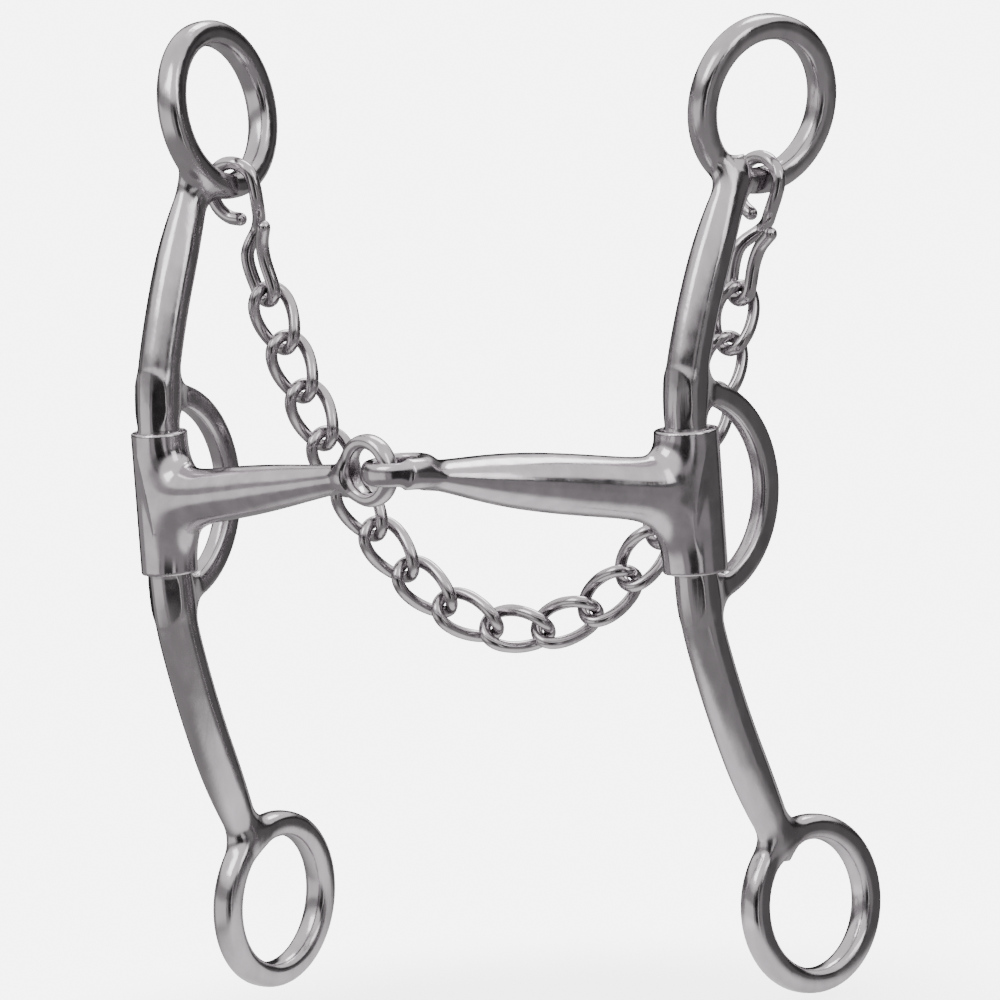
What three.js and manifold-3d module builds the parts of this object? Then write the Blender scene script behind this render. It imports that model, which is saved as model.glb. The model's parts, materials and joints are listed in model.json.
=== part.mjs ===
// Loose-shank curb bit with a jointed mouthpiece, two curb hooks and a curb chain.
// Millimetres. +Z is up along the cheek sleeves, +X runs from the left cheek to the right one,
// +Y points back to the curb chain. The origin is the centre joint of the mouthpiece.
import * as THREE from "three";
import { mergeVertices } from "three/addons/utils/BufferGeometryUtils.js";
import Module from "manifold-3d";

const wasm = await Module();
wasm.setup();

// Mouthpiece
const HALF_LENGTH = 69; // centre joint to sleeve axis, seen from above
const HALF_FOLD = 36.5; // each half is folded back from straight by this many degrees
const CANNON_DROP = { left: 10, right: 14.8 }; // sleeve centres below the centre joint, which has
// enough slack for the right half to hang lower
const CANNON_ROOT_RADIUS = { left: 5.7, right: 6.4 };
const CANNON_ROOT_RISE = { left: 0, right: 1.6 }; // cannon's axis above the middle of the sleeve
const CANNON_NECK_RADIUS = { left: 3.0, right: 3.0 };
const CANNON_END_SPREAD = { left: 1, right: 1.75 }; // the right end is flattened into its eye
const CANNON_FULLNESS = { left: 1.8, right: 3 }; // higher keeps more of its length thick
const SLEEVE_HEIGHT = 30;
const SLEEVE_RADIUS = { left: 5.95, right: 6.8 };
const BORE_RADIUS = 5.15;
const EYE_HOLE_RADIUS = 4.3;
const EYE_WALL = 3.2;
const EYE_REACH = EYE_HOLE_RADIUS + EYE_WALL / 2; // eye centre to the middle of its wall
const LEFT_EYE_DEPTH = 4.0;
const RIGHT_EYE_DEPTH = 4.8;
const RIGHT_EYE_SET_BACK = 2.0; // right eye centre to the joint axis

// Cheeks
const SWIVEL = { left: -27, right: -39 }; // degrees about the sleeve axis from straight back
const PIN_RADIUS = 4.7;
const SHANK_RADIUS = 4.6;
const PURCHASE_ARC = [[5, 12], [49.5, 20.5]]; // [length, degrees turned], from the sleeve end
const SHANK_ARC = [[5, 10], [59.3, 17.5]];
const RING_RADIUS = 16.3; // to the middle of the bar
const RING_BAR = 5.4;
const RING_WIDTH = 6.0;
const RING_CORNER = 1.9;
const PURCHASE_RING_LEAN = 8.5; // degrees outward
const PURCHASE_RING_TOE = 4; // degrees, its back edge turned outward
const REIN_RING_LEAN = -3;
const D_LOOP = { centre: 1.2, back: 2, reach: 19.7, rise: 21, bar: 5.0, width: 4.6, corner: 1.3 };

// Curb hooks and chain
const HOOK_WIRE_RADIUS = 1.45;
const HOOK_EYE_RADIUS = 6.1;
const HOOK_EYE_DROP = 1.25;
const HOOK_LENGTH = 24; // ring bar to the pivot of the end link
const HOOK_BEND_RADIUS = 3.15;
const HOOK_SHANK_OFFSET = 2.7;
const HOOK_TIP = [[17, 3.0], [13.5, 3.6], [10.5, 5.4]]; // along and across the hook
const LINK_COUNT = 17;
const LINK_PITCH = 11;
const LINK_WIRE_RADIUS = 1.3;
const LINK_HALF_LENGTH = 6.95;
const LINK_HALF_WIDTH = 3.9;
const LINK_TWIST = LINK_HALF_WIDTH / 2; // ends at 45 degrees, so neighbours cross squarely
const BEND_BEYOND_PIVOT = HOOK_BEND_RADIUS / 2;

const UP = new THREE.Vector3(0, 0, 1);
const radians = THREE.MathUtils.degToRad;

const polished = (color, roughness) =>
  new THREE.MeshStandardMaterial({ color, roughness, metalness: 1 });

// ---- solids ----

function solid(geometry) {
  const bare = geometry.index ? geometry.toNonIndexed() : geometry.clone();
  bare.deleteAttribute("normal");
  bare.deleteAttribute("uv");
  const merged = mergeVertices(bare, 1e-3);
  return new wasm.Manifold(new wasm.Mesh({
    numProp: 3,
    vertProperties: new Float32Array(merged.attributes.position.array),
    triVerts: new Uint32Array(merged.index.array),
  }));
}

function joined(geometries) {
  return geometries.map(solid).reduce((whole, piece) => whole.add(piece));
}

function geometryOf(manifold) {
  const mesh = manifold.getMesh();
  const geometry = new THREE.BufferGeometry();
  geometry.setAttribute("position", new THREE.BufferAttribute(mesh.vertProperties, 3));
  geometry.setIndex(new THREE.BufferAttribute(mesh.triVerts, 1));
  geometry.computeVertexNormals();
  return geometry;
}

// ---- profiles and paths ----

function roundedBar(width, height, corner) {
  const shape = new THREE.Shape();
  const [x, y] = [width / 2 - corner, height / 2 - corner];
  shape.absarc(x, y, corner, 0, Math.PI / 2);
  shape.absarc(-x, y, corner, Math.PI / 2, Math.PI);
  shape.absarc(-x, -y, corner, Math.PI, Math.PI * 1.5);
  shape.absarc(x, -y, corner, Math.PI * 1.5, Math.PI * 2);
  const points = shape.getPoints(1);
  return points.filter((p, i) => i === 0 || p.distanceTo(points[i - 1]) > 1e-4)
    .filter((p, i, all) => i < all.length - 1 || p.distanceTo(all[0]) > 1e-4);
}

function ellipse(halfWidth, halfHeight, count) {
  return Array.from({ length: count }, (_, i) => {
    const angle = (i + 0.5) / count * Math.PI * 2;
    return new THREE.Vector2(halfWidth * Math.cos(angle), halfHeight * Math.sin(angle));
  });
}

// A ring about the Y axis from a section centred on the bar.
function ring(section, radius, segments) {
  const profile = section.map((p) => new THREE.Vector2(p.x + radius, p.y));
  return new THREE.LatheGeometry([...profile, profile[0]], segments);
}

// A bar of constant section along a curve.
function bar(curve, section, steps) {
  return new THREE.ExtrudeGeometry(new THREE.Shape(section), {
    steps, extrudePath: curve, bevelEnabled: false,
  });
}

// Points in the plane of a cheek along a straight run and then arcs; rise is +1 up or -1 down.
function shankPoints(arcs, rise) {
  const spacing = 4;
  const points = [new THREE.Vector3(0, 0, rise * SLEEVE_HEIGHT / 4)];
  const at = new THREE.Vector3(0, 0, rise * SLEEVE_HEIGHT / 2);
  points.push(at.clone());
  let heading = 0;
  for (const [length, turn] of arcs) {
    const count = Math.ceil(length / spacing);
    for (let i = 0; i < count; i += 1) {
      heading += radians(turn) / count / 2;
      at.y += Math.sin(heading) * length / count;
      at.z += rise * Math.cos(heading) * length / count;
      heading += radians(turn) / count / 2;
      points.push(at.clone());
    }
  }
  return { points, heading };
}

// ---- cheek ----

// The cheek's own frame has +Y back in the plane of the cheek and the sleeve axis on Z.
function ringCentre(arcs, rise) {
  const { points, heading } = shankPoints(arcs, rise);
  const end = points[points.length - 1];
  return end.clone().add(new THREE.Vector3(
    0, RING_RADIUS * Math.sin(heading), rise * RING_RADIUS * Math.cos(heading)));
}

const PURCHASE_RING = ringCentre(PURCHASE_ARC, 1);
const REIN_RING = ringCentre(SHANK_ARC, -1);

// How a ring sits in its cheek; outward is +1 on the right side and -1 on the left.
function ringPlacement(centre, outward, lean, toe) {
  return new THREE.Matrix4().makeRotationZ(radians(-outward * toe))
    .multiply(new THREE.Matrix4().makeRotationY(radians(outward * lean)))
    .setPosition(centre);
}

const purchaseRingPlacement = (outward) =>
  ringPlacement(PURCHASE_RING, outward, PURCHASE_RING_LEAN, PURCHASE_RING_TOE);

function strapRing(placement) {
  const section = roundedBar(RING_BAR, RING_WIDTH, RING_CORNER);
  return ring(section, RING_RADIUS, 32)
    .rotateZ(Math.PI / 2)
    .applyMatrix4(placement);
}

function dLoop() {
  const curve = new THREE.CatmullRomCurve3(Array.from({ length: 19 }, (_, i) => {
    const angle = Math.PI * (0.5 - i / 18);
    return new THREE.Vector3(
      0, D_LOOP.back + D_LOOP.reach * Math.cos(angle), D_LOOP.centre + D_LOOP.rise * Math.sin(angle));
  }));
  return bar(curve, roundedBar(D_LOOP.width, D_LOOP.bar, D_LOOP.corner), 16);
}

function cheekGeometry(outward) {
  const pin = new THREE.CylinderGeometry(PIN_RADIUS, PIN_RADIUS, SLEEVE_HEIGHT + 2, 24)
    .rotateX(Math.PI / 2);
  const shanks = [[PURCHASE_ARC, 1], [SHANK_ARC, -1]].map(([arcs, rise]) => {
    const curve = new THREE.CatmullRomCurve3(shankPoints(arcs, rise).points);
    return bar(curve, ellipse(SHANK_RADIUS, SHANK_RADIUS, 12), 14);
  });
  const rings = [
    strapRing(purchaseRingPlacement(outward)),
    strapRing(ringPlacement(REIN_RING, outward, REIN_RING_LEAN, 0)),
  ];
  return geometryOf(joined([pin, ...shanks, ...rings, dLoop()]));
}

// ---- mouthpiece ----

// A half's own frame has the sleeve axis on Z and the cannon running along +X to the joint.
function cannon(side, run) {
  const slope = Math.atan2(CANNON_DROP[side] - CANNON_ROOT_RISE[side], HALF_LENGTH);
  const length = run / Math.cos(slope);
  const steps = 12;
  const profile = [new THREE.Vector2(0, 0)];
  for (let i = 0; i <= steps; i += 1) {
    const taper = THREE.MathUtils.smoothstep((i / steps) ** CANNON_FULLNESS[side], 0, 1);
    const radius = THREE.MathUtils.lerp(CANNON_ROOT_RADIUS[side], CANNON_NECK_RADIUS[side], taper);
    profile.push(new THREE.Vector2(radius, length * i / steps));
  }
  profile.push(new THREE.Vector2(0, length));
  const geometry = new THREE.LatheGeometry(profile, 20).rotateZ(-Math.PI / 2);
  const points = geometry.attributes.position;
  for (let i = 0; i < points.count; i += 1) {
    const share = (points.getX(i) / length) ** 3;
    points.setY(i, points.getY(i) * THREE.MathUtils.lerp(1, CANNON_END_SPREAD[side], share));
  }
  return geometry.rotateY(-slope).translate(0, 0, CANNON_ROOT_RISE[side]);
}

// The web that blends the cannon into its sleeve: it flares up and down the sleeve.
function rootFlare(side) {
  const flare = [[0, 0], [11.5, 0], [8.6, 6.6], [6.6, 9.5], [5.6, 13.5], [0, 13.5]];
  const thinness = 0.5;
  return new THREE.LatheGeometry(flare.map(([r, x]) => new THREE.Vector2(r, x)), 20)
    .scale(1, 1, thinness)
    .rotateZ(-Math.PI / 2)
    .rotateX(Math.PI / 2)
    .translate(0, 0, CANNON_ROOT_RISE[side]);
}

function mouthGeometry(side) {
  const isLeft = side === "left";
  const tube = new THREE.CylinderGeometry(
    SLEEVE_RADIUS[side], SLEEVE_RADIUS[side], SLEEVE_HEIGHT, 32)
    .rotateX(Math.PI / 2);
  const bore = new THREE.CylinderGeometry(BORE_RADIUS, BORE_RADIUS, SLEEVE_HEIGHT + 4, 32)
    .rotateX(Math.PI / 2);
  const depth = isLeft ? LEFT_EYE_DEPTH : RIGHT_EYE_DEPTH;
  const eye = ring(ellipse(EYE_WALL / 2, depth / 2, 10), EYE_REACH, 28);
  if (!isLeft) {
    eye.rotateX(Math.PI / 2);
  }
  const eyeX = HALF_LENGTH - (isLeft ? EYE_REACH : RIGHT_EYE_SET_BACK);
  eye.translate(eyeX, 0, CANNON_DROP[side]);
  return geometryOf(joined([
    tube, cannon(side, eyeX - EYE_REACH), rootFlare(side), eye,
  ]).subtract(solid(bore)));
}

// ---- hooks and chain ----

// A hook's own frame has the ring bar at the origin and +X running down the hook. The eye spreads
// along eyeSide and the bend along bendSide, both square to X. The wire starts at the open end of
// the eye, crosses over to the bend and ends at the tip.
function hookGeometry(eyeSide, bendSide) {
  const points = [];
  const put = (along, across, side) =>
    points.push(side.clone().multiplyScalar(across).add(new THREE.Vector3(along, 0, 0)));
  const putArc = (centre, radius, from, to, step, side) => {
    for (let angle = from; angle <= to; angle += step) {
      put(centre + radius * Math.cos(radians(angle)), radius * Math.sin(radians(angle)), side);
    }
  };
  const middle = eyeSide.clone().add(bendSide).normalize();
  putArc(HOOK_EYE_DROP, HOOK_EYE_RADIUS, 8, 270, 26.2, eyeSide);
  put(HOOK_EYE_RADIUS - 0.6, -HOOK_EYE_RADIUS + 1.3, eyeSide);
  put(HOOK_LENGTH * 0.42, -HOOK_SHANK_OFFSET - 0.5, middle);
  put(HOOK_LENGTH * 0.62, -HOOK_SHANK_OFFSET, bendSide);
  putArc(HOOK_LENGTH - BEND_BEYOND_PIVOT, HOOK_BEND_RADIUS, -90, 90, 30, bendSide);
  HOOK_TIP.forEach(([along, across]) => put(along, across, bendSide));
  const curve = new THREE.CatmullRomCurve3(points, false, "centripetal");
  return bar(curve, ellipse(HOOK_WIRE_RADIUS, HOOK_WIRE_RADIUS, 6), 42);
}

class LinkCurve extends THREE.Curve {
  getPoint(t, target = new THREE.Vector3()) {
    const angle = t * Math.PI * 2;
    return target.set(
      LINK_HALF_LENGTH * Math.cos(angle),
      LINK_HALF_WIDTH * Math.sin(angle),
      LINK_TWIST * Math.sin(2 * angle));
  }
}

function linkGeometry() {
  const tube = new THREE.TubeGeometry(new LinkCurve(), 20, LINK_WIRE_RADIUS, 6, true);
  return geometryOf(solid(tube));
}

// Slopes of a hanging chain of equal links, hooks included: the tangent of the slope grows by the
// same step from piece to piece. The step and the lowest point are found by Newton's method, so
// that the chain ends at the given distance and height.
function hangingSlopes(span, height) {
  const lengths = Array.from({ length: LINK_COUNT + 2 }, (_, i) =>
    (i === 0 || i === LINK_COUNT + 1 ? HOOK_LENGTH : LINK_PITCH));
  const slopesFor = ([step, lowest]) => lengths.map((_, i) => Math.atan((i - lowest) * step));
  const miss = (guess) => slopesFor(guess).reduce(([x, z], slope, i) =>
    [x + lengths[i] * Math.cos(slope), z + lengths[i] * Math.sin(slope)], [-span, -height]);
  let guess = [0.45, (LINK_COUNT + 1) / 2];
  for (let i = 0; i < 30; i += 1) {
    const nudge = 1e-6;
    const at = miss(guess);
    const byStep = miss([guess[0] + nudge, guess[1]]).map((v, k) => (v - at[k]) / nudge);
    const byLowest = miss([guess[0], guess[1] + nudge]).map((v, k) => (v - at[k]) / nudge);
    const determinant = byStep[0] * byLowest[1] - byLowest[0] * byStep[1];
    guess = [
      guess[0] - (at[0] * byLowest[1] - byLowest[0] * at[1]) / determinant,
      guess[1] - (byStep[0] * at[1] - at[0] * byStep[1]) / determinant,
    ];
  }
  return slopesFor(guess);
}

// ---- assembly ----

const bit = new THREE.Group();

function addMesh(name, geometry, material, matrix) {
  const mesh = new THREE.Mesh(geometry, material);
  mesh.name = name;
  matrix.decompose(mesh.position, mesh.quaternion, mesh.scale);
  bit.add(mesh);
}

function sleeveCentre(side, outward) {
  return new THREE.Vector3(
    outward * HALF_LENGTH * Math.cos(radians(HALF_FOLD)),
    HALF_LENGTH * Math.sin(radians(HALF_FOLD)),
    -CANNON_DROP[side]);
}

function placed(position, degrees) {
  return new THREE.Matrix4().makeRotationAxis(UP, radians(degrees)).setPosition(position);
}

const sides = [["left", -1], ["right", 1]];
const hookBar = {};
const eyeSides = {};
for (const [side, outward] of sides) {
  const centre = sleeveCentre(side, outward);
  const cheek = placed(centre, SWIVEL[side]);
  const towardJoint = outward < 0 ? -HALF_FOLD : 180 + HALF_FOLD;
  addMesh(`cheek_${side}`, cheekGeometry(outward), polished(0xb9b4b8, 0.2), cheek);
  addMesh(`mouth_${side}`, mouthGeometry(side), polished(0xc2bcc1, 0.15),
    placed(centre, towardJoint));
  hookBar[side] = new THREE.Vector3(0, 0, -RING_RADIUS)
    .applyMatrix4(purchaseRingPlacement(outward))
    .applyMatrix4(cheek);
  eyeSides[side] = new THREE.Vector3(-1, 0, 0).transformDirection(cheek);
}

const chainRun = hookBar.right.clone().sub(hookBar.left);
const along = chainRun.clone().setZ(0).normalize();
const facing = new THREE.Vector3().crossVectors(along, UP).normalize();
const slopes = hangingSlopes(chainRun.dot(along), chainRun.z);

// Frame of one chain piece: X along the chain, Z out of the chain's upright plane.
function chainFrame(slope, position) {
  const x = along.clone().multiplyScalar(Math.cos(slope)).addScaledVector(UP, Math.sin(slope));
  const y = new THREE.Vector3().crossVectors(facing, x);
  return new THREE.Matrix4().makeBasis(x, y, facing).setPosition(position);
}

function addHook(side, frame) {
  const inverse = frame.clone().invert();
  const eyeSide = eyeSides[side].clone().transformDirection(inverse).setX(0).normalize();
  const bendSide = new THREE.Vector3(0, 1, 1).normalize(); // square to the end of the link
  addMesh(`curb_hook_${side}`, hookGeometry(eyeSide, bendSide), polished(0xbdb8bc, 0.18), frame);
}

const pivot = hookBar.left.clone();
slopes.forEach((slope, i) => {
  const length = i === 0 || i === LINK_COUNT + 1 ? HOOK_LENGTH : LINK_PITCH;
  const start = chainFrame(slope, pivot);
  const step = new THREE.Vector3(length, 0, 0).transformDirection(start).multiplyScalar(length);
  if (i === 0) {
    addHook("left", start);
  } else if (i === LINK_COUNT + 1) {
    addHook("right", chainFrame(slope + Math.PI, hookBar.right));
  } else {
    const centre = pivot.clone().addScaledVector(step, 0.5);
    addMesh(`chain_link_${String(i).padStart(2, "0")}`, linkGeometry(),
      polished(0xbab5b9, 0.22), chainFrame(slope, centre));
  }
  pivot.add(step);
});

export default bit;
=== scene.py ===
"""Polished look of a loose-shank curb bit: two cast cheeks, a jointed mouthpiece, hooks and a chain.

Shapes are worked out in millimetres in each piece's own frame and stored in metres.
Cast pieces are meshed from distance fields, so their bars flow into each other with fillets.
"""

import json
import math

import bpy
import numpy as np
from mathutils import Matrix, Vector


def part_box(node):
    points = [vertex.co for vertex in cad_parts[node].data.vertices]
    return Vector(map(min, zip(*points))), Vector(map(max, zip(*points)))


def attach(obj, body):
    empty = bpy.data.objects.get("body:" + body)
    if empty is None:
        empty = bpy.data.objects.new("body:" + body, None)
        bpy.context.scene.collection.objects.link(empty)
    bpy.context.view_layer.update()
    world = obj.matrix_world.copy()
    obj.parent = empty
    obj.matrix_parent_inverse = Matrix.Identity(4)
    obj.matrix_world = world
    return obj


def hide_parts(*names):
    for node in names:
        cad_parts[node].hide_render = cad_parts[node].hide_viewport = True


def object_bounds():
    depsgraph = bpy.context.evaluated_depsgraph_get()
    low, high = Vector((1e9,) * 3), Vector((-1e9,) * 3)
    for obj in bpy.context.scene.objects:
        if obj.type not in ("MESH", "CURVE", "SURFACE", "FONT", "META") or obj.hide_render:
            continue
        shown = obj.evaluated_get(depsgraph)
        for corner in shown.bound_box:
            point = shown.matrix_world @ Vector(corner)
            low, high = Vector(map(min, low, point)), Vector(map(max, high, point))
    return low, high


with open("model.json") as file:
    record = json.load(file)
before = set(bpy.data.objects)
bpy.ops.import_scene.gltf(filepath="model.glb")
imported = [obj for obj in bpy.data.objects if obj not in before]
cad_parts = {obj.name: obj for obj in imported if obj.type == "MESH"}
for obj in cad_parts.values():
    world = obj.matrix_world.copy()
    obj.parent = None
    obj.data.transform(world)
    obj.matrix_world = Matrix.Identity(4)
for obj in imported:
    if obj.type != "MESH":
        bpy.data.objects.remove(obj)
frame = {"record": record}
cad_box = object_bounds()

MM = 0.001
TINY = 1e-9  # keeps a division away from zero

# Mouthpiece halves: a sleeve round the cheek's pin, a tapering cannon and an eye
HALF_LENGTH = 69.0
SLEEVE_RADIUS = {"left": 5.95, "right": 6.8}
SLEEVE_HALF = 15.0
SLEEVE_EDGE = 0.45
SLEEVE_FILLET = 3.6
BORE_RADIUS = 5.15
BORE_EDGE = 0.5
CANNON_ROOT = {"left": 5.7, "right": 6.4}
CANNON_RISE = {"left": 0.0, "right": 1.6}  # height of the cannon's line at the sleeve's axis
CANNON_NECK = {"left": 3.0, "right": 3.0}
CANNON_SPREAD = {"left": 1.0, "right": 2.0}  # width over height at the eye
CANNON_FULLNESS = {"left": 1.8, "right": 3.0}  # higher keeps the thickness further along
CANNON_START = 3.0  # along from the sleeve's axis, inside its wall
CANNON_OVERRUN = 1.1  # the cannon keeps widening this far past its length
WEB_RISE, WEB_REACH = 5.2, 7.4
EYE_REACH = 5.9
EYE_WALL_HALF = 1.6
EYE_HALF_DEPTH = {"left": 2.0, "right": 2.4}
EYE_SQUARENESS = 2.4
EYE_FILLET = 3.0
EYE_EDGE = 0.8
RIGHT_EYE_SET_BACK = 2.0
CLEAR_OF_SLEEVE = 12.0  # beyond this the casting may stand higher than the sleeve
UNLIMITED = 50.0  # added to that height, so it no longer limits anything

# Cheeks: pin, two shanks, two strap rings and a D-loop
SWIVEL = {"left": -27.0, "right": -39.0}
OUTWARD = {"left": -1.0, "right": 1.0}
PIN_RADIUS = 4.7
PIN_BEYOND_SLEEVE = 0.6
CLEAR_OF_PIN = BORE_RADIUS + 2.0  # nearer the axis, only the pin passes through the sleeve
SHANK_BEYOND_SLEEVE = 0.3
SHANK_HALF = 4.6
SHANK_BEVEL = 1.36  # of the half width; 2 would leave a square bar
SHANK_SHARPNESS = 11.0
NECK_HALF = (3.7, 2.4)  # half sizes where a shank meets its ring, in the cheek's plane and across
NECK_LENGTH = 22.0
NECK_FILLET = 4.6
PURCHASE_ARC = ((16.0, 18.5), (38.66, 14.0))  # length and turn in degrees of each stretch
SHANK_ARC = ((16.0, 14.67), (48.42, 12.83))
RING_RADIUS = 16.3
RING_HALF = (2.7, 3.0)
RING_SQUARENESS = 2.7
PURCHASE_LEAN, PURCHASE_TOE = 8.5, 4.0
REIN_LEAN = -3.0
D_CENTRE, D_BACK, D_REACH, D_RISE = 1.2, 2.0, 19.7, 21.0
D_FRONT = 0.0  # the loop's ends stop here, inside the shank
D_HALF = (2.5, 2.3)
D_SQUARENESS = 3.6
D_FILLET = 4.2

# Hooks and chain; distances along a hook are from the ring's bar
HOOK_WIRE = 1.45
HOOK_EYE_RADIUS = 6.1
HOOK_EYE_DROP = 1.25
HOOK_EYE_OPENING = 8.0  # degrees from the hook's line to the open end of its eye
HOOK_EYE_END = 270.0
HOOK_EYE_STEP = 26.2
HOOK_LENGTH = 24.0
HOOK_BEND = 3.15
HOOK_SHANK_OFFSET = 2.7
HOOK_EYE_EXIT = (HOOK_EYE_RADIUS - 0.6, 1.3 - HOOK_EYE_RADIUS)  # these four: along and across
HOOK_CROSSING = (HOOK_LENGTH * 0.42, -HOOK_SHANK_OFFSET - 0.5)
HOOK_BEND_ENTRY = (HOOK_LENGTH * 0.62, -HOOK_SHANK_OFFSET)
HOOK_TIP = ((17.0, 3.1), (13.3, 4.1), (10.0, 6.6))
LINK_COUNT = 17
LINK_WIRE = 1.3
LINK_HALF_LENGTH = 6.95
LINK_HALF_WIDTH = 3.9
LINK_TWIST = LINK_HALF_WIDTH / 2.0

# Rounded end of a wire, in wire radii: how far in from the tip, and how wide
DOME = ((0.0, 0.15), (0.3, 0.72), (0.7, 0.95))

# Corners of the space searched for each casting, in its own frame
CHEEK_SPACE = (-9.0, -8.0, -112.0), (9.0, 50.0, 102.0)
MOUTH_SPACE = (-8.0, -10.5, -17.0), (77.0, 10.5, 26.0)

# Studio seen by the metal: azimuth of each light panel in degrees (0 is +Y, 90 is +X), its
# softness and its brightness
ROOM_DARK = 0.035
ROOM_TINT = (1.0, 0.975, 0.99, 1.0)
PANELS = (
    (-169.0, -152.0, 2.0, 0.40),
    (-148.0, -84.0, 5.0, 1.15),
    (-82.0, -48.0, 5.0, 0.38),
    (10.0, 38.0, 5.0, 0.45),
    (50.0, 104.0, 6.0, 0.11),
    (106.0, 138.0, 5.0, 0.30),
    (146.0, 157.0, 2.5, 0.95),
)
FLAG = 0.62  # how much a dark strip round the room, just above eye level, takes from it
FLAG_HEIGHT = (0.05, 0.13)  # heights are the upward part of the direction, from -1 to 1
GROUND = 0.36
GROUND_HEIGHT = (-0.42, -0.24)
CEILING = 1.35
CEILING_HEIGHT = (0.30, 0.45)
BACKDROP = 6.5  # seen by the camera alone
FLOOR_GLOW = 1.1
FLOOR_BODY = 0.45  # how solid the floor is under the bit
FLOOR_SOLID_TO = 0.4  # of the way from its centre to its edge
FLOOR_MARGIN = 0.06  # this and the next three are in metres
FLOOR_GAP = 0.001
LIGHT_TARGET = (0.0, 0.03, 0.0)
LIGHT_DISTANCE = 1.4

# Camera: degrees, metres, and millimetres for the lens
CAMERA_AZIMUTH, CAMERA_ELEVATION, CAMERA_ROLL = 9.31, 8.40, -4.06
CAMERA_DISTANCE = 1.520
CAMERA_AIM = (0.0149, 0.045, -0.0135)
SENSOR_WIDTH = 36.0
LENS = 262.656

# Settling castings onto their surface
SETTLE_ROUNDS = 3
SETTLE_STEP = 0.02  # how far to each side a slope is sampled
SETTLE_FLATTEST = 0.05  # gentler slopes, squared, count as this
SETTLE_FURTHEST = 0.3  # largest share of the slope moved in a round

CHEEK_CELL = 0.55
MOUTH_CELL = 0.45
LINK_POINTS = 64
LINK_SIDES = 14
HOOK_SIDES = 16
HOOK_POINTS_PER_SPAN = 6


# ---- distance fields ----

def smooth_min(a, b, reach):
    """Union of two fields with a fillet about as wide as reach."""
    share = np.clip(0.5 + 0.5 * (b - a) / reach, 0.0, 1.0)
    return b + (a - b) * share - reach * share * (1.0 - share)


def smooth_max(a, b, reach):
    return -smooth_min(-a, -b, reach)


def rounded_section(u, v, half_u, half_v, power):
    """A squarish oval section; a higher power is squarer."""
    u, v = np.abs(u) / half_u, np.abs(v) / half_v
    return (np.power(u ** power + v ** power, 1.0 / power) - 1.0) * min(half_u, half_v)


def bevelled_section(u, v, half):
    """An eight-sided bar section with softened edges."""
    u, v = u / half, v / half
    sides = (np.abs(u), np.abs(v), np.abs(u + v) / SHANK_BEVEL, np.abs(u - v) / SHANK_BEVEL)
    total = sum(side ** SHANK_SHARPNESS for side in sides)
    return (np.power(total, 1.0 / SHANK_SHARPNESS) - 1.0) * half


def shank_pieces(arcs):
    """Start, heading, length and turn of each piece of a shank, and where the shank ends."""
    pieces = [(0.0, 0.0, 0.0, SLEEVE_HALF, 0.0)]
    y, z, heading = 0.0, SLEEVE_HALF, 0.0
    for length, degrees in arcs:
        turn = math.radians(degrees)
        pieces.append((y, z, heading, length, turn))
        radius = length / turn
        y += radius * (math.cos(heading) - math.cos(heading + turn))
        z += radius * (math.sin(heading + turn) - math.sin(heading))
        heading += turn
    return pieces, (y, z, heading)


def ring_centre(arcs):
    """Centre of the ring that a shank runs into."""
    y, z, heading = shank_pieces(arcs)[1]
    return y + RING_RADIUS * math.sin(heading), z + RING_RADIUS * math.cos(heading)


def nearest_on_arc(y, z, piece):
    """Offset to the side, distance past the end and station, for points by one shank piece."""
    start_y, start_z, heading, length, turn = piece
    if turn == 0.0:
        station = np.clip(z - start_z, 0.0, length)
        return y - start_y, z - start_z - station, station
    radius = length / turn
    from_y = y - (start_y + radius * math.cos(heading))
    from_z = z - (start_z - radius * math.sin(heading))
    angle = np.clip(np.arctan2(from_z, -from_y), heading, heading + turn)
    near_y, near_z = -radius * np.cos(angle), radius * np.sin(angle)
    off_y, off_z = from_y - near_y, from_z - near_z
    side = off_y * np.cos(angle) - off_z * np.sin(angle)
    past = off_y * np.sin(angle) + off_z * np.cos(angle)
    return side, past, radius * (angle - heading)


def shank_field(x, y, z, arcs):
    """A bevelled bar along a shank, slimming to its neck."""
    side = np.full_like(x, 1e3)
    past = np.zeros_like(x)
    station = np.zeros_like(x)
    travelled = 0.0
    for piece in shank_pieces(arcs)[0]:
        new_side, new_past, new_station = nearest_on_arc(y, z, piece)
        closer = new_side ** 2 + new_past ** 2 < side ** 2 + past ** 2
        side = np.where(closer, new_side, side)
        past = np.where(closer, new_past, past)
        station = np.where(closer, new_station + travelled, station)
        travelled += piece[3]
    neck = np.clip((station - travelled + NECK_LENGTH) / NECK_LENGTH, 0.0, 1.0) ** 2
    half_side = SHANK_HALF + (NECK_HALF[0] - SHANK_HALF) * neck
    half_across = SHANK_HALF + (NECK_HALF[1] - SHANK_HALF) * neck
    bar = bevelled_section(side / half_side * SHANK_HALF, x / half_across * SHANK_HALF, SHANK_HALF)
    return np.hypot(np.maximum(bar, 0.0), past) + np.minimum(bar, 0.0)


def ring_field(x, y, z, centre, rotation):
    """A strap ring; rotation turns the cheek's frame into the ring's."""
    points = np.stack([x, y - centre[0], z - centre[1]])
    across, back, up = np.tensordot(np.array(rotation), points, axes=1)
    radial = np.hypot(back, up) - RING_RADIUS
    return rounded_section(radial, across, *RING_HALF, RING_SQUARENESS)


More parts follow.
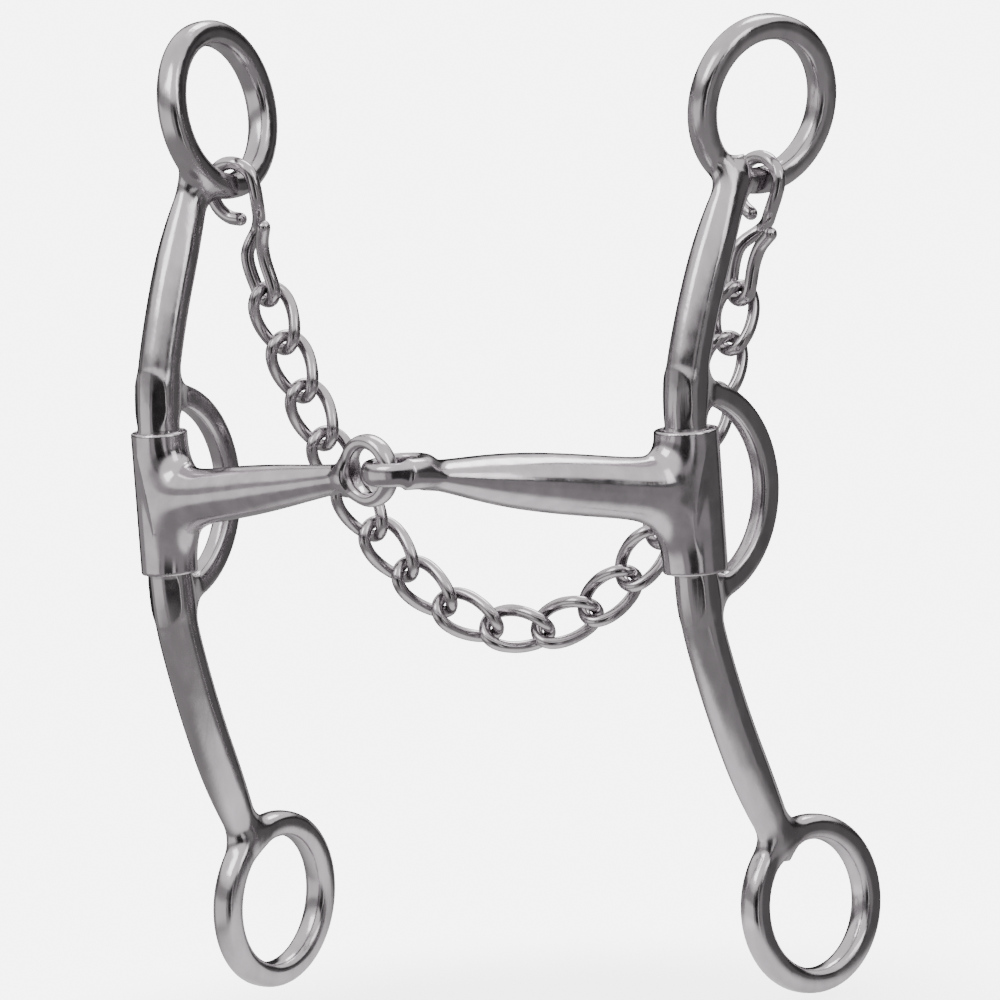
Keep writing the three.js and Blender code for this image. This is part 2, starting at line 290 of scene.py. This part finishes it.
def d_loop_field(x, y, z):
    """Half an oval ring behind the sleeve, open towards the shank."""
    back = np.maximum(y - D_BACK, 0.0)
    rise = z - D_CENTRE
    ratio = np.sqrt((back / D_REACH) ** 2 + (rise / D_RISE) ** 2) + TINY
    slope = np.sqrt((back / D_REACH ** 2) ** 2 + (rise / D_RISE ** 2) ** 2) + TINY
    radial = (ratio - 1.0) * ratio / slope
    bar = rounded_section(radial, x, *D_HALF, D_SQUARENESS)
    return np.maximum(bar, D_FRONT - y)


def ring_rotation(outward, lean, toe):
    """Turns directions in the cheek's frame into the ring's."""
    turn = Matrix.Rotation(math.radians(-outward * toe), 3, "Z")
    tilt = Matrix.Rotation(math.radians(outward * lean), 3, "Y")
    return (turn @ tilt).transposed()


def cheek_field(outward):
    purchase, rein = ring_centre(PURCHASE_ARC), ring_centre(SHANK_ARC)
    purchase_turn = ring_rotation(outward, PURCHASE_LEAN, PURCHASE_TOE)
    rein_turn = ring_rotation(outward, REIN_LEAN, 0.0)

    def field(x, y, z):
        from_axis = np.hypot(x, y)
        pin = np.maximum(from_axis - PIN_RADIUS, np.abs(z) - SLEEVE_HALF - PIN_BEYOND_SLEEVE)
        upper = shank_field(x, y, z, PURCHASE_ARC)
        lower = shank_field(x, y, -z, SHANK_ARC)
        top = ring_field(x, y, z, purchase, purchase_turn)
        bottom = ring_field(x, y, z, (rein[0], -rein[1]), rein_turn)
        upper = smooth_min(upper, top, NECK_FILLET)
        lower = smooth_min(lower, bottom, NECK_FILLET)
        bars = np.minimum(upper, lower)
        bars = smooth_min(bars, d_loop_field(x, y, z), D_FILLET)
        in_sleeve = (np.abs(z) < SLEEVE_HALF + SHANK_BEYOND_SLEEVE) & (from_axis < CLEAR_OF_PIN)
        return np.where(in_sleeve, pin, bars)

    return field


def rounded_cylinder(radial, z, radius, half, edge):
    """An upright cylinder with rounded rims."""
    out, over = radial - radius + edge, np.abs(z) - half + edge
    outside = np.hypot(np.maximum(out, 0.0), np.maximum(over, 0.0))
    return np.minimum(np.maximum(out, over), 0.0) + outside - edge


def mouth_field(side, drop):
    """A mouthpiece half: Z up the sleeve's axis, X towards the eye, which is drop higher."""
    eye_x = HALF_LENGTH - (EYE_REACH if side == "left" else RIGHT_EYE_SET_BACK)
    slope = math.atan2(drop - CANNON_RISE[side], HALF_LENGTH)
    run = (eye_x - EYE_REACH) / math.cos(slope)

    def field(x, y, z):
        radial = np.hypot(x, y)
        sleeve = rounded_cylinder(radial, z, SLEEVE_RADIUS[side], SLEEVE_HALF, SLEEVE_EDGE)
        rise = z - CANNON_RISE[side]
        along = x * math.cos(slope) + rise * math.sin(slope)
        off = rise * math.cos(slope) - x * math.sin(slope)
        share = np.clip(along / run, 0.0, CANNON_OVERRUN)
        taper = np.minimum(share ** CANNON_FULLNESS[side], 1.0)
        taper = taper * taper * (3.0 - 2.0 * taper)
        radius = CANNON_ROOT[side] + (CANNON_NECK[side] - CANNON_ROOT[side]) * taper
        spread = 1.0 + (CANNON_SPREAD[side] - 1.0) * share ** 3
        height = radius + WEB_RISE * np.exp(-(np.maximum(along, 0.0) / WEB_REACH) ** 2)
        cannon = (np.hypot(y / spread / radius, off / height) - 1.0) * radius
        end = run if side == "left" else eye_x / math.cos(slope)
        cannon = np.maximum(cannon, np.maximum(CANNON_START - along, along - end))
        body = smooth_min(sleeve, cannon, SLEEVE_FILLET)
        eye_z = z - drop
        flat, across = (eye_z, y) if side == "left" else (y, eye_z)
        ring = rounded_section(
            np.hypot(x - eye_x, flat) - EYE_REACH, across,
            EYE_WALL_HALF, EYE_HALF_DEPTH[side], EYE_SQUARENESS)
        body = smooth_min(body, ring, EYE_FILLET)
        hole = EYE_REACH - EYE_WALL_HALF - np.hypot(x - eye_x, flat)
        body = smooth_max(body, hole, EYE_EDGE)
        height_limit = SLEEVE_HALF + (along > CLEAR_OF_SLEEVE) * UNLIMITED
        body = np.maximum(body, np.abs(z) - height_limit)
        return smooth_max(body, BORE_RADIUS - radial, BORE_EDGE)

    return field


# ---- meshing ----

def surface_net(field, low, high, cell):
    """Vertices and quads of the zero surface of a field, one vertex for each cell it crosses."""
    axes = [np.arange(a, b + cell, cell) for a, b in zip(low, high)]
    values = field(*np.meshgrid(*axes, indexing="ij"))
    inside = values < 0.0
    size = np.array(values.shape) - 1
    corners = [(i, j, k) for i in (0, 1) for j in (0, 1) for k in (0, 1)]

    def shifted(grid, corner):
        i, j, k = corner
        return grid[i:i + size[0], j:j + size[1], k:k + size[2]]

    count = sum(shifted(inside, corner).astype(int) for corner in corners)
    active = (count > 0) & (count < 8)
    index = np.full(active.shape, -1)
    index[active] = np.arange(np.count_nonzero(active))
    total = np.zeros((index.max() + 1, 3))
    crossings = np.zeros(index.max() + 1)
    for start in corners:
        for axis in range(3):
            if start[axis]:
                continue
            end = tuple(1 if a == axis else s for a, s in enumerate(start))
            first, second = shifted(values, start)[active], shifted(values, end)[active]
            crosses = (first < 0.0) != (second < 0.0)
            place = np.tile(np.array(start, float), (len(first), 1))
            place[:, axis] += np.where(crosses, first / np.where(crosses, first - second, 1.0), 0.0)
            total += place * crosses[:, None]
            crossings += crosses
    vertices = np.array(low) + (np.argwhere(active) + total / crossings[:, None]) * cell
    return vertices, net_faces(inside, index, size)


def net_faces(inside, index, size):
    """One quad round each grid edge that passes through the surface, facing outwards."""
    faces = []
    for axis in range(3):
        one, two = [a for a in range(3) if a != axis]
        lead = inside[tuple(slice(0, -1) if a == axis else slice(None) for a in range(3))]
        trail = inside[tuple(slice(1, None) if a == axis else slice(None) for a in range(3))]
        edges = np.argwhere(lead != trail)
        edges = edges[(edges[:, one] > 0) & (edges[:, two] > 0)]
        edges = edges[(edges[:, one] < size[one]) & (edges[:, two] < size[two])]
        ring = []
        for back_one, back_two in ((0, 0), (1, 0), (1, 1), (0, 1)):
            cell_index = edges.copy()
            cell_index[:, one] -= back_one
            cell_index[:, two] -= back_two
            ring.append(index[tuple(cell_index.T)])
        quads = np.stack(ring, axis=1)
        flip = lead[tuple(edges.T)] == (axis == 1)
        quads[flip] = quads[flip][:, ::-1]
        faces.append(quads)
    return np.concatenate(faces)


def settle(vertices, field):
    """Move vertices along the field's slope until they lie on its zero surface."""
    for _ in range(SETTLE_ROUNDS):
        value = field(*vertices.T)
        slope = np.empty_like(vertices)
        for axis in range(3):
            nudge = np.zeros(3)
            nudge[axis] = SETTLE_STEP
            ahead, behind = field(*(vertices + nudge).T), field(*(vertices - nudge).T)
            slope[:, axis] = (ahead - behind) / (2.0 * SETTLE_STEP)
        steepness = np.maximum((slope ** 2).sum(axis=1), SETTLE_FLATTEST)
        share = np.clip(value / steepness, -SETTLE_FURTHEST, SETTLE_FURTHEST)
        vertices = vertices - slope * share[:, None]
    return vertices


def add_mesh(name, vertices, faces, matrix):
    """A smooth mesh object; vertices are in millimetres in the frame given by matrix."""
    points = np.array(matrix)[:3, :3] @ (np.asarray(vertices) * MM).T
    points = points.T + np.array(matrix)[:3, 3]
    mesh = bpy.data.meshes.new(name)
    mesh.from_pydata(points.tolist(), [], [list(face) for face in faces])
    mesh.polygons.foreach_set("use_smooth", [True] * len(mesh.polygons))
    mesh.validate()
    piece = bpy.data.objects.new(name, mesh)
    bpy.context.scene.collection.objects.link(piece)
    return piece


def cast_piece(name, field, space, cell, matrix):
    """A casting meshed from its field within the two corners of a space."""
    vertices, faces = surface_net(field, *space, cell)
    return add_mesh(name, settle(vertices, field), faces, matrix)


# ---- wire ----

def catmull_rom(points, per_span):
    """Points on a centripetal Catmull-Rom curve through the given points."""
    ends = [2 * points[0] - points[1], *points, 2 * points[-1] - points[-2]]
    out = []
    for p0, p1, p2, p3 in zip(ends, ends[1:], ends[2:], ends[3:]):
        t = [0.0]
        for a, b in ((p0, p1), (p1, p2), (p2, p3)):
            t.append(t[-1] + max(np.linalg.norm(b - a), 1e-6) ** 0.5)
        for s in np.linspace(t[1], t[2], per_span, endpoint=False):
            a1 = (t[1] - s) / (t[1] - t[0]) * p0 + (s - t[0]) / (t[1] - t[0]) * p1
            a2 = (t[2] - s) / (t[2] - t[1]) * p1 + (s - t[1]) / (t[2] - t[1]) * p2
            a3 = (t[3] - s) / (t[3] - t[2]) * p2 + (s - t[2]) / (t[3] - t[2]) * p3
            b1 = (t[2] - s) / (t[2] - t[0]) * a1 + (s - t[0]) / (t[2] - t[0]) * a2
            b2 = (t[3] - s) / (t[3] - t[1]) * a2 + (s - t[1]) / (t[3] - t[1]) * a3
            out.append((t[2] - s) / (t[2] - t[1]) * b1 + (s - t[1]) / (t[2] - t[1]) * b2)
    return np.array([*out, points[-1]])


def domed(points, radius):
    """Points and radii of an open wire, with rounded ends added."""
    first, last = points[1] - points[0], points[-2] - points[-1]
    first, last = first / np.linalg.norm(first), last / np.linalg.norm(last)
    head = [points[0] + first * radius * (along - 1.0) for along, _ in DOME]
    tail = [points[-1] + last * radius * (along - 1.0) for along, _ in reversed(DOME)]
    rims = [share * radius for _, share in DOME]
    return np.array([*head, *points, *tail]), np.array(rims + [radius] * len(points) + rims[::-1])


def carried_frames(tangents):
    """Two directions square to each tangent, carried along without spinning."""
    side = np.cross(tangents[0], (0.3, 0.5, 0.8))
    frames = []
    for tangent in tangents:
        side = side - tangent * side.dot(tangent)
        side /= np.linalg.norm(side)
        frames.append((side.copy(), np.cross(tangent, side)))
    return frames


def wire(points, radius, sides, closed):
    """A round wire along points, closed on itself or with domed ends."""
    points = np.asarray(points, float)
    if closed:
        tangents = np.roll(points, -1, axis=0) - np.roll(points, 1, axis=0)
        radii = np.full(len(points), radius)
    else:
        points, radii = domed(points, radius)
        tangents = np.gradient(points, axis=0)
    tangents /= np.linalg.norm(tangents, axis=1)[:, None]
    frames = carried_frames(tangents)
    twist = 0.0
    if closed:
        back = frames[-1][0] - tangents[0] * frames[-1][0].dot(tangents[0])
        twist = math.atan2(back.dot(frames[0][1]), back.dot(frames[0][0]))
    vertices = []
    for i, (point, size, (one, two)) in enumerate(zip(points, radii, frames)):
        for k in range(sides):
            angle = 2.0 * math.pi * k / sides - twist * i / len(points)
            vertices.append(point + size * (math.cos(angle) * one + math.sin(angle) * two))
    count = len(points)
    faces = []
    for i in range(count if closed else count - 1):
        here, ahead = i * sides, (i + 1) % count * sides
        for k in range(sides):
            after = (k + 1) % sides
            faces.append([here + k, here + after, ahead + after, ahead + k])
    if not closed:
        faces.append(list(range(sides))[::-1])
        faces.append([(count - 1) * sides + k for k in range(sides)])
    return vertices, faces


# ---- placing ----

joints = {joint["child"]: joint for joint in frame["record"]["behaviour"]["joints"]}


def pivot(node):
    """Where a piece hangs on the piece before it, in metres."""
    return Vector(joints[node]["pos_m"])


def upright(position, degrees):
    """A frame with Z up, turned about it."""
    return Matrix.Translation(position) @ Matrix.Rotation(math.radians(degrees), 4, "Z")


def chain_frame(position, direction, facing):
    """X along the chain and Z out of its upright plane, as in the CAD part."""
    x = direction.normalized()
    y = facing.cross(x)
    return Matrix.Translation(position) @ Matrix((x, y, facing)).transposed().to_4x4()


def finish_piece(piece, node, material):
    """Gives a piece its steel and ties it to its CAD node."""
    piece.data.materials.append(material)
    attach(piece, node)
    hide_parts(node)
    return piece


def make_cheek(side, material):
    """One casting: strap rings, shanks, pin and D-loop."""
    field = cheek_field(OUTWARD[side])
    place = upright(pivot(f"cheek_{side}"), SWIVEL[side])
    piece = cast_piece(f"cheek_{side}_casting", field, CHEEK_SPACE, CHEEK_CELL, place)
    return finish_piece(piece, f"cheek_{side}", material)


def make_mouth(side, material):
    """One casting: sleeve, cannon and eye."""
    centre = pivot(f"cheek_{side}")
    heading = math.degrees(math.atan2(-centre.y, -centre.x))
    field = mouth_field(side, -centre.z / MM)
    place = upright(centre, heading)
    piece = cast_piece(f"mouthpiece_half_{side}", field, MOUTH_SPACE, MOUTH_CELL, place)
    return finish_piece(piece, f"mouth_{side}", material)


def make_link(number, material):
    """A round wire bent to an oval and twisted."""
    node = f"chain_link_{number:02d}"
    low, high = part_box(node)
    centre = (Vector(low) + Vector(high)) / 2
    facing = Vector(joints[node]["axis"])
    place = chain_frame(centre, centre - pivot(node), facing)
    angles = np.linspace(0.0, 2.0 * math.pi, LINK_POINTS, endpoint=False)
    points = np.stack([
        LINK_HALF_LENGTH * np.cos(angles),
        LINK_HALF_WIDTH * np.sin(angles),
        LINK_TWIST * np.sin(2.0 * angles)], axis=1)
    vertices, faces = wire(points, LINK_WIRE, LINK_SIDES, closed=True)
    piece = add_mesh(f"twisted_link_{number:02d}", vertices, faces, place)
    return finish_piece(piece, node, material)


def hook_points(eye_side, bend_side):
    """Middle line of a hook: open eye, crossing to the bend, bend and tip."""
    down = np.array([1.0, 0.0, 0.0])
    points = []

    def put(along, across, side):
        points.append(down * along + side * across)

    def put_arc(centre, radius, degrees, side):
        angle = math.radians(degrees)
        points.append(down * (centre + radius * math.cos(angle)) + side * radius * math.sin(angle))

    for degrees in np.arange(HOOK_EYE_OPENING, HOOK_EYE_END, HOOK_EYE_STEP):
        put_arc(HOOK_EYE_DROP, HOOK_EYE_RADIUS, degrees, eye_side)
    middle = eye_side + bend_side
    middle /= np.linalg.norm(middle)
    put(*HOOK_EYE_EXIT, eye_side)
    put(*HOOK_CROSSING, middle)
    put(*HOOK_BEND_ENTRY, bend_side)
    for degrees in range(-90, 91, 30):
        put_arc(HOOK_LENGTH - HOOK_BEND / 2.0, HOOK_BEND, degrees, bend_side)
    for along, across in HOOK_TIP:
        put(along, across, bend_side)
    return catmull_rom(points, HOOK_POINTS_PER_SPAN)


def make_hook(side, end_pivot, material):
    """A bent wire whose eye rides on the cheek's purchase ring and whose bend holds a link."""
    node = f"curb_hook_{side}"
    start = pivot(node)
    facing = Vector(joints[node]["axis"])
    place = chain_frame(start, end_pivot - start, facing)
    cheek_side = Matrix.Rotation(math.radians(SWIVEL[side]), 3, "Z") @ Vector((-1, 0, 0))
    local = place.to_3x3().transposed() @ cheek_side
    eye_side = np.array([0.0, local.y, local.z])
    eye_side /= np.linalg.norm(eye_side)
    bend_side = np.array([0.0, 1.0, 1.0]) / math.sqrt(2.0)
    points = hook_points(eye_side, bend_side)
    vertices, faces = wire(points, HOOK_WIRE, HOOK_SIDES, closed=False)
    piece = add_mesh(f"chain_hook_{side}", vertices, faces, place)
    return finish_piece(piece, node, material)


# ---- materials ----

def polished_steel(name, tint, roughness, wave, scratches, streak=1.0):
    """Buffed stainless steel: a slightly uneven surface, fine polishing lines and faint clouding.

    A streak below 1 draws the clouds out upwards.
    """
    material = bpy.data.materials.new(name)
    material.use_nodes = True
    nodes, links = material.node_tree.nodes, material.node_tree.links
    shader = nodes["Principled BSDF"]
    shader.inputs["Metallic"].default_value = 1.0
    place = nodes.new("ShaderNodeTexCoord").outputs["Object"]

    def noise(scale, detail, stretch=(1.0, 1.0, 1.0)):
        mapping = nodes.new("ShaderNodeMapping")
        mapping.inputs["Scale"].default_value = stretch
        links.new(place, mapping.inputs["Vector"])
        texture = nodes.new("ShaderNodeTexNoise")
        texture.inputs["Scale"].default_value = scale
        texture.inputs["Detail"].default_value = detail
        links.new(mapping.outputs["Vector"], texture.inputs["Vector"])
        return texture.outputs["Fac"]

    def spread(source, low, high):
        ranged = nodes.new("ShaderNodeMapRange")
        ranged.inputs["From Min"].default_value = 0.3
        ranged.inputs["From Max"].default_value = 0.7
        ranged.inputs["To Min"].default_value = low
        ranged.inputs["To Max"].default_value = high
        links.new(source, ranged.inputs["Value"])
        return ranged.outputs["Result"]

    clouds = noise(scale=230.0, detail=4.0, stretch=(1.0, 1.0, streak))
    colour = nodes.new("ShaderNodeMix")
    colour.data_type = "RGBA"
    colour.inputs["A"].default_value = (*[c * 0.78 for c in tint], 1.0)
    colour.inputs["B"].default_value = (*tint, 1.0)
    links.new(spread(clouds, 0.0, 1.0), colour.inputs["Factor"])
    links.new(colour.outputs["Result"], shader.inputs["Base Color"])
    patches = noise(scale=260.0, detail=2.0)
    links.new(spread(patches, roughness * 0.7, roughness * 1.4), shader.inputs["Roughness"])

    lines = nodes.new("ShaderNodeBump")
    lines.inputs["Strength"].default_value = scratches
    lines.inputs["Distance"].default_value = 0.0001
    upright_lines = noise(scale=700.0, detail=3.0, stretch=(1.0, 1.0, 0.07))
    links.new(upright_lines, lines.inputs["Height"])
    unevenness = nodes.new("ShaderNodeBump")
    unevenness.inputs["Strength"].default_value = wave
    unevenness.inputs["Distance"].default_value = 0.0005
    links.new(noise(scale=95.0, detail=1.0), unevenness.inputs["Height"])
    links.new(lines.outputs["Normal"], unevenness.inputs["Normal"])
    links.new(unevenness.outputs["Normal"], shader.inputs["Normal"])
    return material


def floor_material(centre, half_x, half_y):
    """Glowing white, part see-through, fading with distance from the floor's centre."""
    material = bpy.data.materials.new("floor_white")
    material.use_nodes = True
    nodes, links = material.node_tree.nodes, material.node_tree.links
    shader = nodes["Principled BSDF"]
    shader.inputs["Base Color"].default_value = (0.95, 0.95, 0.95, 1.0)
    shader.inputs["Roughness"].default_value = 0.8
    shader.inputs["Emission Color"].default_value = (1.0, 1.0, 1.0, 1.0)
    shader.inputs["Emission Strength"].default_value = FLOOR_GLOW
    from_centre = nodes.new("ShaderNodeMapping")
    from_centre.vector_type = "TEXTURE"
    from_centre.inputs["Location"].default_value = centre
    from_centre.inputs["Scale"].default_value = (half_x, half_y, 1.0)
    place = nodes.new("ShaderNodeTexCoord").outputs["Object"]
    links.new(place, from_centre.inputs["Vector"])
    distance = nodes.new("ShaderNodeVectorMath")
    distance.operation = "LENGTH"
    links.new(from_centre.outputs["Vector"], distance.inputs[0])
    fade = nodes.new("ShaderNodeMapRange")
    fade.interpolation_type = "SMOOTHSTEP"
    fade.inputs["From Min"].default_value = 1.0
    fade.inputs["From Max"].default_value = FLOOR_SOLID_TO
    fade.inputs["To Max"].default_value = FLOOR_BODY
    links.new(distance.outputs["Value"], fade.inputs["Value"])
    links.new(fade.outputs["Result"], shader.inputs["Alpha"])
    return material


# ---- studio ----

def make_floor():
    """A pale plate just below the rein rings, thinning out to nothing towards its edge."""
    low, high = cad_box
    centre = ((low[0] + high[0]) / 2, (low[1] + high[1]) / 2, low[2] - FLOOR_GAP)
    half_x = (high[0] - low[0]) / 2 + FLOOR_MARGIN
    half_y = (high[1] - low[1]) / 2 + FLOOR_MARGIN
    corners = [
        (centre[0] + x * half_x, centre[1] + y * half_y, centre[2])
        for x, y in ((-1, -1), (1, -1), (1, 1), (-1, 1))]
    mesh = bpy.data.meshes.new("floor")
    mesh.from_pydata(corners, [], [(0, 1, 2, 3)])
    mesh.materials.append(floor_material(centre, half_x, half_y))
    floor = bpy.data.objects.new("floor", mesh)
    bpy.context.scene.collection.objects.link(floor)


def aimed(obj, position, target):
    """Puts a light or camera in the scene, looking at its target."""
    obj.location = position
    obj.rotation_euler = (Vector(target) - Vector(position)).to_track_quat("-Z", "Y").to_euler()
    bpy.context.scene.collection.objects.link(obj)
    return obj


def towards(azimuth, elevation):
    """Direction of the viewer or light at an azimuth from the front and an elevation, in degrees."""
    turn, lift = math.radians(azimuth), math.radians(elevation)
    level = math.cos(lift)
    return Vector((math.sin(turn) * level, -math.cos(turn) * level, math.sin(lift)))


def add_softbox(name, azimuth, elevation, width, height, power):
    light = bpy.data.lights.new(name, "AREA")
    light.shape = "RECTANGLE"
    light.size, light.size_y = width, height
    light.energy = power
    away = towards(azimuth, elevation)
    target = Vector(LIGHT_TARGET)
    aimed(bpy.data.objects.new(name, light), target + away * LIGHT_DISTANCE, target)


def make_world():
    """White to the camera; to the metal, a dark room with tall light panels and a pale ceiling."""
    world = bpy.data.worlds.new("studio")
    bpy.context.scene.world = world
    world.use_nodes = True
    nodes, links = world.node_tree.nodes, world.node_tree.links

    def feed(socket, value):
        if isinstance(value, float):
            socket.default_value = value
        else:
            links.new(value, socket)

    def combined(operation, first, second):
        node = nodes.new("ShaderNodeMath")
        node.operation = operation
        feed(node.inputs[0], first)
        feed(node.inputs[1], second)
        return node.outputs["Value"]

    def mixed(low_value, high_value, factor):
        mix = nodes.new("ShaderNodeMix")
        links.new(factor, mix.inputs["Factor"])
        feed(mix.inputs["A"], low_value)
        feed(mix.inputs["B"], high_value)
        return mix.outputs["Result"]

    def rise(source, low, high):
        mapped = nodes.new("ShaderNodeMapRange")
        mapped.interpolation_type = "SMOOTHSTEP"
        mapped.inputs["From Min"].default_value = low
        mapped.inputs["From Max"].default_value = high
        links.new(source, mapped.inputs["Value"])
        return mapped.outputs["Result"]

    split = nodes.new("ShaderNodeSeparateXYZ")
    links.new(nodes.new("ShaderNodeTexCoord").outputs["Generated"], split.inputs["Vector"])
    around = combined("ARCTAN2", split.outputs["X"], split.outputs["Y"])
    azimuth = combined("MULTIPLY", around, math.degrees(1.0))
    height = split.outputs["Z"]

    light = ROOM_DARK
    for start, end, softness, strength in PANELS:
        rising = rise(azimuth, start - softness, start + softness)
        falling = rise(azimuth, end - softness, end + softness)
        panel = combined("MULTIPLY", combined("SUBTRACT", rising, falling), strength)
        light = combined("ADD", light, panel)
    flag = combined("MULTIPLY", rise(height, *FLAG_HEIGHT), FLAG)
    light = combined("MULTIPLY", light, combined("SUBTRACT", 1.0, flag))
    light = mixed(light, CEILING, rise(height, *CEILING_HEIGHT))
    light = mixed(GROUND, light, rise(height, *GROUND_HEIGHT))
    seen_directly = nodes.new("ShaderNodeLightPath").outputs["Is Camera Ray"]
    background = nodes["Background"]
    background.inputs["Color"].default_value = ROOM_TINT
    links.new(mixed(light, BACKDROP, seen_directly), background.inputs["Strength"])


def make_camera():
    """A long lens a little above the bit, rolled to one side."""
    camera = bpy.data.cameras.new("camera")
    camera.sensor_width = SENSOR_WIDTH
    camera.lens = LENS
    camera.clip_start = 0.05
    aim = Vector(CAMERA_AIM)
    away = towards(CAMERA_AZIMUTH, CAMERA_ELEVATION)
    holder = aimed(bpy.data.objects.new("camera", camera), aim + away * CAMERA_DISTANCE, aim)
    roll = Matrix.Rotation(math.radians(CAMERA_ROLL), 3, "Z")
    holder.rotation_euler = (holder.rotation_euler.to_matrix() @ roll).to_euler()
    bpy.context.scene.camera = holder


make_camera()
make_world()
make_floor()
add_softbox("key", azimuth=-50.0, elevation=45.0, width=0.7, height=0.7, power=6.0)
add_softbox("fill", azimuth=60.0, elevation=30.0, width=0.5, height=0.9, power=3.0)
add_softbox("back", azimuth=165.0, elevation=50.0, width=0.8, height=0.5, power=7.0)

cheek_steel = polished_steel(
    "cheek_steel", (0.58, 0.55, 0.57), roughness=0.17, wave=0.45, scratches=0.35, streak=0.12)
mouth_steel = polished_steel(
    "mouth_steel", (0.60, 0.565, 0.59), roughness=0.16, wave=0.35, scratches=0.15)
hook_steel = polished_steel(
    "hook_steel", (0.58, 0.55, 0.57), roughness=0.15, wave=0.15, scratches=0.06)
chain_steel = polished_steel(
    "chain_steel", (0.56, 0.53, 0.55), roughness=0.18, wave=0.20, scratches=0.08)

for cheek_side in ("left", "right"):
    make_cheek(cheek_side, cheek_steel)
    make_mouth(cheek_side, mouth_steel)
for link_number in range(1, LINK_COUNT + 1):
    make_link(link_number, chain_steel)

make_hook("left", pivot("chain_link_01"), hook_steel)
make_hook("right", pivot(f"chain_link_{LINK_COUNT:02d}"), hook_steel)
